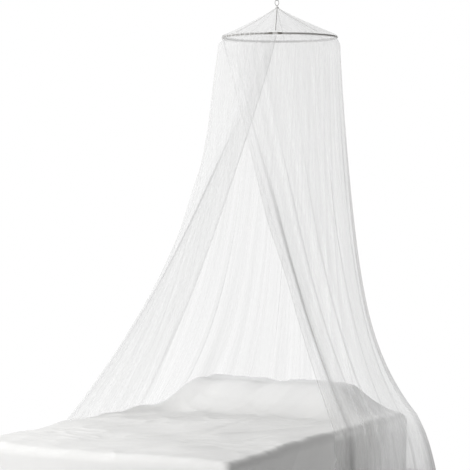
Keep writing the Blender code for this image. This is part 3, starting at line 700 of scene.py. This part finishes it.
def build_crown(net, tape, back_tape_painted_light):
    columns = GORES * 48
    around = np.arange(columns) / columns
    down = np.linspace(0.0, 1.0, 25)
    points = crown_surface(around, down)
    width = 2.0 * math.pi * HOOP_RADIUS
    spread = np.linspace(0.0, 1.0, len(down))[:, None]
    in_gore = np.mod(around * GORES, 1.0) - 0.5
    cloth = np.stack([in_gore[None, :] * width / GORES * spread, drop_lengths(points)], axis=-1)
    crown = grid_mesh("net_crown", points, net, cloth, np.full(points.shape[:2], 1.45), wrap=True)
    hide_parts("crown")
    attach(crown, "root")
    strips = []
    rows = np.linspace(0.02, 0.985, 40)
    for number in range(GORES):
        centre = number / GORES
        middle = crown_surface(np.array([centre]), rows)[:, 0]
        beside = crown_surface(np.array([centre + 0.002]), rows)[:, 0]
        aside = beside - middle
        aside[:, 2] = 0.0
        aside /= np.linalg.norm(aside, axis=-1, keepdims=True)
        lines = [middle + aside * x + np.array([0.0, 0.0, z]) for x, z in TAPE_PROFILE]
        strips.append(np.stack(lines, axis=1))
    front = seam_tapes("seam_tapes_front", strips, [0, 1, GORES - 1], tape)
    # The tapes round the back take the paler copy, painted light.
    others = seam_tapes("seam_tapes_round", strips, range(2, GORES - 1), back_tape_painted_light)
    return crown, [front, others]


def strips_mesh(name, strips, material):
    """Several narrow grids of points in one object."""
    vertices = []
    faces = []
    for strip in strips:
        rows, columns = strip.shape[:2]
        first = len(vertices)
        vertices.extend(strip.reshape(-1, 3).tolist())
        for row in range(rows - 1):
            for step in range(columns - 1):
                here = first + row * columns + step
                faces.append((here, here + 1, here + columns + 1, here + columns))
    mesh = bpy.data.meshes.new(name)
    mesh.from_pydata(vertices, [], faces)
    return place_object(name, mesh, material)


def seam_tapes(name, strips, numbers, tape):
    """The tapes on some of the crown's seams, as one piece."""
    tapes = strips_mesh(name, [strips[n] for n in numbers], tape)
    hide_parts(*[f"seam_tape_{n + 1}" for n in numbers])
    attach(tapes, "root")
    return tapes


def build_sleeve(net):
    """The band of net that is gathered on the hoop, with its puckers and ruffled top."""
    steps = 720
    start = SEAM_DEGREES + SLEEVE_GAP_DEGREES
    degrees = np.linspace(start, start + 360.0 - 2.0 * SLEEVE_GAP_DEGREES, steps)
    turn = np.linspace(0.0, 2.0 * math.pi, 17)
    puckers = np.sin(degrees * 1.9) * np.cos(degrees * 0.31) + 0.6 * np.sin(degrees * 4.3 + 1.0)
    fine = np.sin(degrees * 9.7 + 2.0 * np.sin(degrees * 0.5))
    wide = 0.0050 - 0.0004 * (1.0 + puckers)[None, :] + 0.0002 * fine[None, :]
    reach = np.where(np.sin(turn) > 0.0, SLEEVE_TOP, SLEEVE_BOTTOM)[:, None]
    radius = HOOP_RADIUS + wide * np.cos(turn)[:, None]
    # 1 at the hoop's left as the photograph shows it, where the ruffle hides the hoop.
    left = 0.5 - 0.5 * np.sin(np.radians(degrees - VIEW_DEGREES))
    tall = 0.0010 + 0.0022 * left**2
    rise = np.sin(turn)[:, None]
    ruffle = (tall * puckers)[None, :] * np.abs(rise)
    height = HOOP_HEIGHT + (reach - 0.0012) * rise + ruffle * np.sign(rise)
    points = on_hoop(degrees[None, :], radius, height)
    length = 2.0 * math.pi * HOOP_RADIUS * 1.4
    share = np.linspace(0.0, 1.0, steps)
    cloth = np.stack(np.broadcast_arrays(share[None, :] * length, turn[:, None] * 0.008), axis=-1)
    inside = 0.5 - 0.5 * np.cos(turn)[:, None] * np.ones((1, steps))
    drift = np.sin(degrees * 0.53 + 2.0 * np.sin(degrees * 0.11))
    patchy = 1.0 + 0.9 * drift * np.sin(degrees * 1.7)
    density = ((0.9 + 2.4 * left**2) * patchy)[None, :] * (1.0 - inside) + 8.0 * inside**6
    sleeve = grid_mesh("net_sleeve", points, net, cloth, density)
    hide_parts("hoop_sleeve")
    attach(sleeve, "root")
    return sleeve


# ---------------------------------------------------------------- the bed


def draped_bump(offset, reach, half):
    """1 over a pillow, and a soft slope down to 0 past its edge."""
    flat = reach + 0.40 * half
    ramp = 0.60 * half + 0.12
    share = np.clip((np.abs(offset) - flat) / ramp, 0.0, 1.0)
    return 0.5 * (1.0 + np.cos(math.pi * share))


def spread_rise(x, y):
    """How far the spread lies above the mattress: over the pillows, and its soft creases."""
    centre = BED_CENTRE_X + PILLOW_SHIFT
    middle = BED_HEAD_Y - PILLOW_BACK - PILLOW_DEPTH / 2
    over_x = draped_bump(x - centre, PILLOW_SPACING / 2, PILLOW_WIDTH / 2)
    over_y = draped_bump(y - middle, 0.0, PILLOW_DEPTH / 2)
    dip = SPREAD_DIP * np.exp(-(((x - centre) / 0.07) ** 2))
    pillows = ((PILLOW_HEIGHT + SPREAD_OVER_PILLOW) * over_x - dip) * over_y
    crease = np.sin(9.0 * x + 4.0 * y + 0.8 * np.sin(5.0 * y)) * np.sin(3.1 * y - 2.3 * x + 0.5)
    return pillows + 0.004 * (1.0 + crease)


def rounded_plan(x, y, half_x, half_y, corner):
    """Moves the points of a rectangle's corners in to a round of the corner's radius."""
    over_x = np.maximum(np.abs(x) - (half_x - corner), 0.0)
    over_y = np.maximum(np.abs(y) - (half_y - corner), 0.0)
    both = (over_x > 0.0) & (over_y > 0.0)
    length = np.maximum(np.hypot(over_x, over_y), 1e-9)
    shrink = np.where(both, np.maximum(over_x, over_y) / length, 1.0)
    new_x = np.where(both, np.sign(x) * (half_x - corner + over_x * shrink), x)
    new_y = np.where(both, np.sign(y) * (half_y - corner + over_y * shrink), y)
    return new_x, new_y


def rumples(x, y):
    """Soft rumpling of washed cotton: low swells and narrow ridges that wander."""
    height = np.zeros(x.shape)
    for place in np.ndindex(x.shape):
        u = 0.886 * x[place] + 0.463 * y[place]
        v = 0.886 * y[place] - 0.463 * x[place]
        swell = noise.noise(Vector((3.6 * u, 6.0 * v, 1.0)))
        bend = noise.noise(Vector((2.0 * u, 2.0 * v, 9.0)))
        ridge = 1.0 - abs(noise.noise(Vector((3.0 * u + 1.2 * bend, 8.0 * v + 1.5 * bend, 4.0))))
        fine = 1.0 - abs(noise.noise(Vector((9.0 * u + 2.0 * bend, 17.0 * v, 7.0))))
        height[place] = 0.010 * swell + 0.0065 * (ridge**4 - 0.5) + 0.0018 * (fine**4 - 0.5)
    return height


def build_spread(cotton):
    """The spread: its top with creases, its rounded edges, and sides that fall in soft folds."""
    inner_columns, inner_rows, sides = 150, 200, 46
    columns = inner_columns + 2 * sides
    rows = inner_rows + 2 * sides
    c = np.arange(columns + 1)[None, :] - sides
    r = np.arange(rows + 1)[:, None] - sides
    beyond = np.broadcast_arrays(0 * c * r, -c, c - inner_columns, -r, r - inner_rows)
    ring = np.maximum.reduce(beyond)
    share_x = (c + ring) / (inner_columns + 2.0 * ring)
    share_y = (r + ring) / (inner_rows + 2.0 * ring)
    # A quarter turn round the edge over the first rings, then straight down.
    edge_rings = 14
    turn = np.clip(ring / edge_rings, 0.0, 1.0) * math.pi / 2
    inset = SPREAD_EDGE * (1.0 - np.sin(turn))
    down_share = np.clip((ring - edge_rings) / (sides - edge_rings), 0.0, 1.0)
    drop = SPREAD_EDGE * (1.0 - np.cos(turn)) + (SPREAD_HEM_DROP - SPREAD_EDGE) * down_share
    wave = 0.5 + 0.5 * np.sin(23.0 * (share_x + share_y) + 9.0 * (share_x - share_y))
    folds = np.sin(71.0 * share_x + 3.0 * np.sin(9.0 * share_y)) * np.sin(61.0 * share_y + 2.0)
    folds = 0.5 + 0.5 * folds
    inset = inset + (0.003 * wave + 0.003 * folds) * down_share
    half_x = BED_WIDTH / 2 - SPREAD_INSET - inset
    half_y = BED_LENGTH / 2 - SPREAD_INSET - inset
    x = (2.0 * share_x - 1.0) * half_x
    y = (2.0 * share_y - 1.0) * half_y
    x, y = rounded_plan(x, y, half_x, half_y, SPREAD_CORNER)
    x = x + BED_CENTRE_X
    y = y + BED_HEAD_Y - BED_LENGTH / 2
    rise = spread_rise(x, y)
    creases = np.zeros_like(x)
    for centre_x, centre_y, angle, length, width, height in SPREAD_CREASES[1:]:
        turned = math.radians(angle)
        cosine, sine = math.cos(turned), math.sin(turned)
        run = (x - centre_x) * cosine + (y - centre_y) * sine
        off = -(x - centre_x) * sine + (y - centre_y) * cosine
        off = off + 0.25 * width * np.sin(run / length * 5.0)
        creases = creases + height * np.exp(-((off / width) ** 2)) * np.exp(-((run / length) ** 2))
    creases = creases + rumples(x, y)
    creases = np.maximum(creases + 0.006, 0.0)
    settled = np.clip(1.0 - drop / 0.12, 0.0, 1.0) ** 2
    z = BED_TOP - SPREAD_INSET + (rise + creases) * settled - drop
    outward = rumples(y + 0.3 * x, 0.7 * z) * (1.0 - settled)
    aside = x - BED_CENTRE_X
    x = x + np.where(np.abs(aside) > half_x - 0.002, np.sign(aside) * outward, 0.0)
    points = np.stack([x, y, up(z)], axis=-1)
    flat_x = (share_x - 0.5) * (BED_WIDTH + 2.0 * drop)
    flat_y = (share_y - 0.5) * (BED_LENGTH + 2.0 * drop)
    cloth = np.stack([flat_x, flat_y], axis=-1)
    spread = grid_mesh("bed_cover", points, cotton, cloth)
    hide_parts("bedspread")
    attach(spread, "root")
    return spread


# ---------------------------------------------------------------- putting it together


def dress_frame(materials):
    """Gives each CAD node that stays a material of its own."""
    for name, material in materials.items():
        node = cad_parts[name]
        for slot in node.material_slots:
            slot.material = material


def build_floor():
    bm = bmesh.new()
    bmesh.ops.create_circle(bm, cap_ends=True, segments=128, radius=2.1)
    mesh = bpy.data.meshes.new("floor")
    bm.to_mesh(mesh)
    bm.free()
    floor = bpy.data.objects.new("floor", mesh)
    floor.location = (BED_CENTRE_X, -0.60, up(0.0) - 0.0005)
    mesh.materials.append(floor_material())
    bpy.context.scene.collection.objects.link(floor)


def area_light(name, place, aim, size, power):
    light = bpy.data.lights.new(name, "AREA")
    light.shape = "DISK"
    light.size = size
    light.energy = power
    obj = bpy.data.objects.new(name, light)
    obj.location = place
    obj.rotation_mode = "QUATERNION"
    obj.rotation_quaternion = (Vector(aim) - Vector(place)).to_track_quat("-Z", "Y")
    obj.visible_camera = False
    bpy.context.scene.collection.objects.link(obj)


def build_light():
    """A white studio: the camera sees a white background, and the object a dimmer one."""
    world = bpy.data.worlds.new("studio")
    bpy.context.scene.world = world
    world.use_nodes = True
    tree = world.node_tree
    dim = tree.nodes["Background"]
    dim.inputs["Color"].default_value = (1.0, 1.0, 1.0, 1.0)
    dim.inputs["Strength"].default_value = 0.30
    white = tree.nodes.new("ShaderNodeBackground")
    white.inputs["Color"].default_value = (1.0, 1.0, 1.0, 1.0)
    white.inputs["Strength"].default_value = 1.0
    rays = tree.nodes.new("ShaderNodeLightPath")
    mix = tree.nodes.new("ShaderNodeMixShader")
    tree.links.new(rays.outputs["Is Camera Ray"], mix.inputs[0])
    tree.links.new(dim.outputs[0], mix.inputs[1])
    tree.links.new(white.outputs[0], mix.inputs[2])
    tree.links.new(mix.outputs[0], tree.nodes["World Output"].inputs["Surface"])
    area_light("key", (-4.6, -2.2, up(4.0)), (-0.1, -0.7, up(0.8)), 2.4, 165.0)
    area_light("front", (-2.0, -5.9, up(3.8)), (0.0, -0.2, up(0.9)), 2.4, 268.0)
    # A small light for the net that hangs beside the bed, and a wide one from behind.
    area_light("fill", (1.8, 0.6, up(0.7)), (0.7, -0.2, up(0.3)), 1.0, 6.0)
    area_light("sweep", (-2.5, 5.0, up(2.6)), (0.0, -0.2, up(1.3)), 5.0, 95.0)


def build_camera():
    """The photograph's camera, level with the middle of the net and ten metres away."""
    focal_pixels = 1903.0
    frame_pixels = 470.0
    distance = 10.0
    turned = math.radians(VIEW_DEGREES)
    tilt = math.radians(-1.75)
    right = Vector((math.cos(turned), math.sin(turned), 0.0))
    ahead = Vector((-math.sin(turned), math.cos(turned), 0.0))
    hoop = Vector((HOOP_SHIFT[0], HOOP_SHIFT[1], up(HOOP_HEIGHT)))
    place = hoop - right * 0.235 - ahead * distance + Vector((0.0, 0.0, -0.73))
    aim = ahead * math.cos(tilt) + Vector((0.0, 0.0, 1.0)) * math.sin(tilt)
    rise = right.cross(aim)
    matrix = Matrix((right, rise, -aim)).transposed().to_4x4()
    matrix.translation = place
    data = bpy.data.cameras.new("camera")
    data.sensor_width = 36.0
    data.lens = data.sensor_width * focal_pixels / frame_pixels
    data.clip_end = 100.0
    camera = bpy.data.objects.new("camera", data)
    camera.matrix_world = matrix
    bpy.context.scene.collection.objects.link(camera)
    bpy.context.scene.camera = camera


def main():
    build_camera()
    scene = bpy.context.scene
    scene.view_settings.view_transform = "Standard"
    scene.cycles.transparent_max_bounces = 64
    scene.cycles.max_bounces = 8

    net = net_material("net_knit", 0.160, (0.88, 0.88, 0.88))
    # The sleeve's knit is a paler copy of the net's, painted light against the shade on the hoop,
    # and without the net's painted shade where it is bunched.
    sleeve_knit_painted_light = net_material("sleeve_knit", 0.160, (0.96, 0.96, 0.96), crowd=1.0)
    tape = woven_material("tape_weave", (0.72, 0.71, 0.70), (0.62, 0.61, 0.60), TAPE_WEAVE)
    # The tapes round the back are a paler copy of the front tape, painted light against the shade
    # they lie in when seen from below.
    pale, deep = (0.86, 0.86, 0.85), (0.80, 0.80, 0.79)
    back_tape_painted_light = woven_material("back_tape_weave_painted_light", pale, deep, TAPE_WEAVE, sheer=0.7)
    painted, worn = (0.25, 0.235, 0.215), (0.48, 0.46, 0.44)
    wire = metal_material("hoop_paint", painted, worn)
    steel = metal_material("hook_paint", (0.16, 0.15, 0.14), (0.40, 0.39, 0.38))
    seam = tuple(on_hoop(SEAM_DEGREES, HOOP_RADIUS, HOOP_HEIGHT))
    joint = metal_material("joint_paint", painted, worn, (0.80, 0.79, 0.77), seam)
    ticking = woven_material("ticking_weave", (0.80, 0.80, 0.78), (0.74, 0.74, 0.72), 0.0012)
    base = woven_material("base_weave", (0.27, 0.26, 0.25), (0.21, 0.20, 0.19), 0.0015)

    dress_frame({
        "ceiling_hook": steel,
        "hanging_ring": steel,
        "apex_cap": tape,
        "hoop": wire,
        "hoop_joint": joint,
        "bed_base": base,
        "mattress": ticking,
        "pillow_left": ticking,
        "pillow_right": ticking,
    })
    skirt = build_skirt(net)
    hems = build_hems(net)
    crown, tapes = build_crown(net, tape, back_tape_painted_light)
    sleeve = build_sleeve(sleeve_knit_painted_light)
    spread = build_spread(spread_material())
    build_floor()
    build_light()


main()
